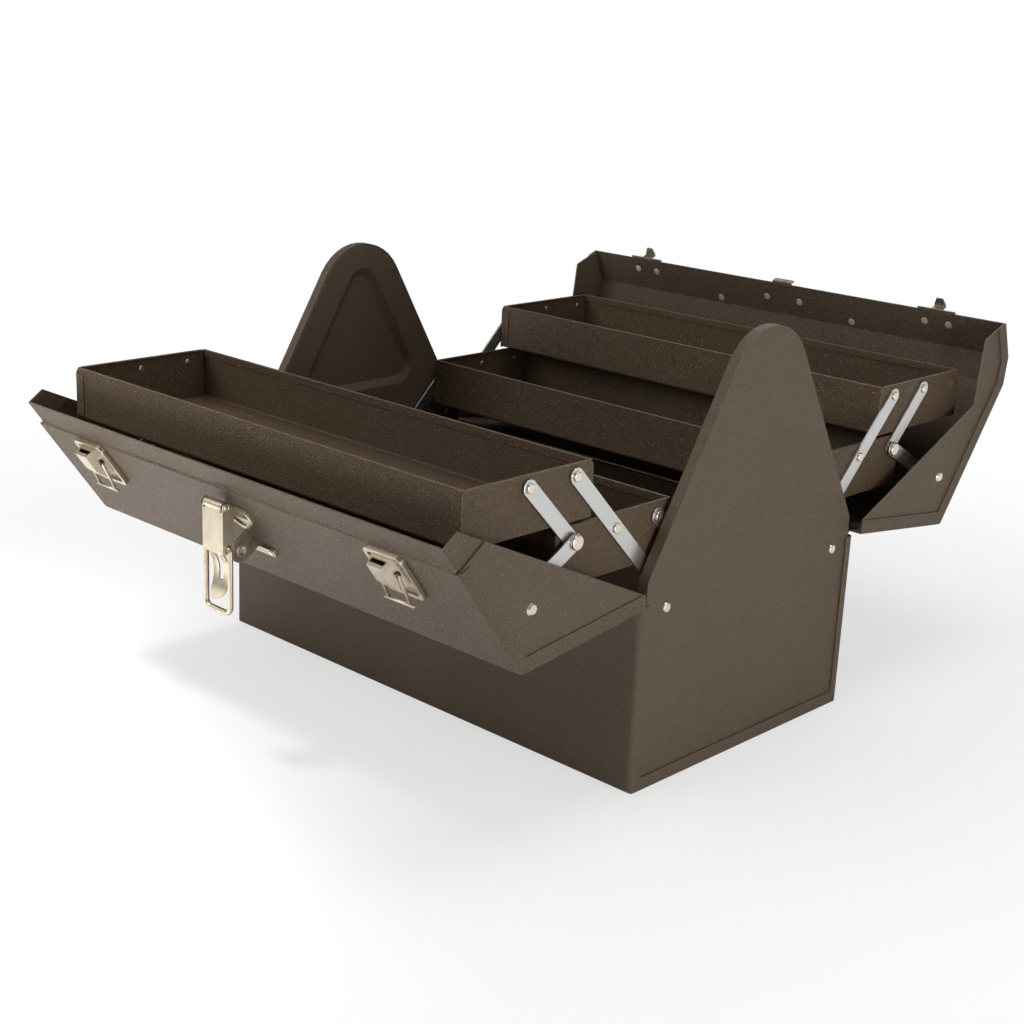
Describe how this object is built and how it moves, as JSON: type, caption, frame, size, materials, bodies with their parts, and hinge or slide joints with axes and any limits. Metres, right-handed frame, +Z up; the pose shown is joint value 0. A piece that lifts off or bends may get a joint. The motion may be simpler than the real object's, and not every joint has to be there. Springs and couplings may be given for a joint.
{
  "type": "cantilever tool box",
  "caption": "Steel cantilever tool box shown open: two hinged lids lift trays on swing links, with latches, strikes and a folding handle.",
  "frame": {"origin": "centre of the case's flat base, on the floor", "axes": "+Z up, +X along the case to its right end seen from the latched side, -Y towards the latched front lid"},
  "size_m": [0.461, 0.6782, 0.323],
  "materials": {
    "brown_paint": "wrinkle powder coat",
    "nickel": "satin nickel plate",
    "zinc": "bright zinc plate"
  },
  "bodies": {
    "case": {"case_shell": "brown_paint", "end_skin_left": "brown_paint", "end_skin_right": "brown_paint", "end_liner_left": "brown_paint", "end_liner_right": "brown_paint", "case_rivets": "nickel", "case_pivots": "nickel", "front_case_leaf": "zinc", "back_case_leaf": "zinc", "hinge_pins": "zinc"},
    "front_lid": {"front_lid_shell": "brown_paint", "front_cap_left": "brown_paint", "front_cap_right": "brown_paint", "front_lid_leaf": "zinc", "front_lid_pivots": "nickel", "side_catch_plates": "nickel", "side_catch_boxes": "nickel", "centre_latch_plate": "nickel", "padlock_lug": "brown_paint", "front_lid_rivets": "nickel"},
    "back_lid": {"back_lid_shell": "brown_paint", "back_cap_left": "brown_paint", "back_cap_right": "brown_paint", "back_lid_leaf": "zinc", "back_lid_pivots": "nickel", "side_strikes": "nickel", "centre_strike": "nickel", "back_lid_rivets": "nickel", "handle_brackets": "nickel"},
    "side_wire_left": {"side_wire_left": "nickel"},
    "side_wire_right": {"side_wire_right": "nickel"},
    "centre_lever": {"centre_lever": "nickel"},
    "centre_bail": {"centre_bail": "nickel"},
    "carry_handle": {"carry_handle": "nickel"},
    "upper_tray_front": {"upper_front_trough": "brown_paint", "upper_front_end_left": "brown_paint", "upper_front_end_right": "brown_paint", "upper_front_rivets": "nickel"},
    "lower_tray_front": {"lower_front_trough": "brown_paint", "lower_front_end_left": "brown_paint", "lower_front_end_right": "brown_paint", "lower_front_rivets": "nickel"},
    "long_links_front": {"long_links_front": "zinc"},
    "short_links_front": {"short_links_front": "zinc"},
    "inner_links_front": {"inner_links_front": "zinc"},
    "lid_links_front": {"lid_links_front": "zinc"},
    "upper_tray_back": {"upper_back_trough": "brown_paint", "upper_back_end_left": "brown_paint", "upper_back_end_right": "brown_paint", "upper_back_rivets": "nickel"},
    "lower_tray_back": {"lower_back_trough": "brown_paint", "lower_back_end_left": "brown_paint", "lower_back_end_right": "brown_paint", "lower_back_rivets": "nickel"},
    "long_links_back": {"long_links_back": "zinc"},
    "short_links_back": {"short_links_back": "zinc"},
    "inner_links_back": {"inner_links_back": "zinc"},
    "lid_links_back": {"lid_links_back": "zinc"}
  },
  "joints": [
    {"name": "front_lid_hinge", "type": "hinge", "parent": "case", "child": "front_lid", "pos_m": [0, -0.1303, 0.1435], "axis": [-1, 0, 0], "range_deg": [0, 97.4]},
    {"name": "front_long_links", "type": "hinge", "parent": "case", "child": "long_links_front", "pos_m": [0, -0.1081, 0.1582], "axis": [-1, 0, 0], "range_deg": [0, 90.5]},
    {"name": "front_inner_links", "type": "hinge", "parent": "case", "child": "inner_links_front", "pos_m": [0, -0.0636, 0.1582], "axis": [-1, 0, 0], "range_deg": [0, 90.5]},
    {"name": "front_lower_tray", "type": "hinge", "parent": "long_links_front", "child": "lower_tray_front", "pos_m": [0, -0.14847, 0.19914], "axis": [-1, 0, 0], "range_deg": [-90.5, 0]},
    {"name": "front_upper_tray", "type": "hinge", "parent": "long_links_front", "child": "upper_tray_front", "pos_m": [0, -0.19152, 0.24279], "axis": [-1, 0, 0], "range_deg": [-90.5, 0]},
    {"name": "front_short_links", "type": "hinge", "parent": "lower_tray_front", "child": "short_links_front", "pos_m": [0, -0.19297, 0.19914], "axis": [-1, 0, 0], "range_deg": [0, 90.5]},
    {"name": "front_lid_links", "type": "hinge", "parent": "front_lid", "child": "lid_links_front", "pos_m": [0, -0.24761, 0.16937], "axis": [-1, 0, 0], "range_deg": [0, 41.67]},
    {"name": "back_lid_hinge", "type": "hinge", "parent": "case", "child": "back_lid", "pos_m": [0, 0.1303, 0.1435], "axis": [1, 0, 0], "range_deg": [0, 97.4]},
    {"name": "back_long_links", "type": "hinge", "parent": "case", "child": "long_links_back", "pos_m": [0, 0.1081, 0.1582], "axis": [1, 0, 0], "range_deg": [0, 90.5]},
    {"name": "back_inner_links", "type": "hinge", "parent": "case", "child": "inner_links_back", "pos_m": [0, 0.0636, 0.1582], "axis": [1, 0, 0], "range_deg": [0, 90.5]},
    {"name": "back_lower_tray", "type": "hinge", "parent": "long_links_back", "child": "lower_tray_back", "pos_m": [0, 0.14847, 0.19914], "axis": [1, 0, 0], "range_deg": [-90.5, 0]},
    {"name": "back_upper_tray", "type": "hinge", "parent": "long_links_back", "child": "upper_tray_back", "pos_m": [0, 0.19152, 0.24279], "axis": [1, 0, 0], "range_deg": [-90.5, 0]},
    {"name": "back_short_links", "type": "hinge", "parent": "lower_tray_back", "child": "short_links_back", "pos_m": [0, 0.19297, 0.19914], "axis": [1, 0, 0], "range_deg": [0, 90.5]},
    {"name": "back_lid_links", "type": "hinge", "parent": "back_lid", "child": "lid_links_back", "pos_m": [0, 0.24761, 0.16937], "axis": [1, 0, 0], "range_deg": [0, 41.67]},
    {"name": "side_wire_left_swing", "type": "hinge", "parent": "front_lid", "child": "side_wire_left", "pos_m": [-0.163, -0.31116, 0.19085], "axis": [-1, 0, 0], "range_deg": [-6, 140]},
    {"name": "side_wire_right_swing", "type": "hinge", "parent": "front_lid", "child": "side_wire_right", "pos_m": [0.163, -0.31116, 0.19085], "axis": [-1, 0, 0], "range_deg": [-6, 140]},
    {"name": "centre_lever_swing", "type": "hinge", "parent": "front_lid", "child": "centre_lever", "pos_m": [0, -0.32142, 0.19759], "axis": [1, 0, 0], "range_deg": [0, 36.2]},
    {"name": "centre_bail_swing", "type": "hinge", "parent": "centre_lever", "child": "centre_bail", "pos_m": [0, -0.31942, 0.16759], "axis": [-1, 0, 0], "range_deg": [0, 160]},
    {"name": "carry_handle_swing", "type": "hinge", "parent": "back_lid", "child": "carry_handle", "pos_m": [0, 0.34461, 0.25376], "axis": [1, 0, 0], "range_deg": [-13, 96]}
  ],
  "couplings": [
    {"joint": "front_long_links", "follows": "front_lid_hinge", "ratio": 0.92916},
    {"joint": "front_inner_links", "follows": "front_lid_hinge", "ratio": 0.92916},
    {"joint": "front_lower_tray", "follows": "front_lid_hinge", "ratio": -0.92916},
    {"joint": "front_upper_tray", "follows": "front_lid_hinge", "ratio": -0.92916},
    {"joint": "front_short_links", "follows": "front_lid_hinge", "ratio": 0.92916},
    {"joint": "front_lid_links", "follows": "front_lid_hinge", "ratio": 0.42782},
    {"joint": "back_long_links", "follows": "back_lid_hinge", "ratio": 0.92916},
    {"joint": "back_inner_links", "follows": "back_lid_hinge", "ratio": 0.92916},
    {"joint": "back_lower_tray", "follows": "back_lid_hinge", "ratio": -0.92916},
    {"joint": "back_upper_tray", "follows": "back_lid_hinge", "ratio": -0.92916},
    {"joint": "back_short_links", "follows": "back_lid_hinge", "ratio": 0.92916},
    {"joint": "back_lid_links", "follows": "back_lid_hinge", "ratio": 0.42782}
  ]
}
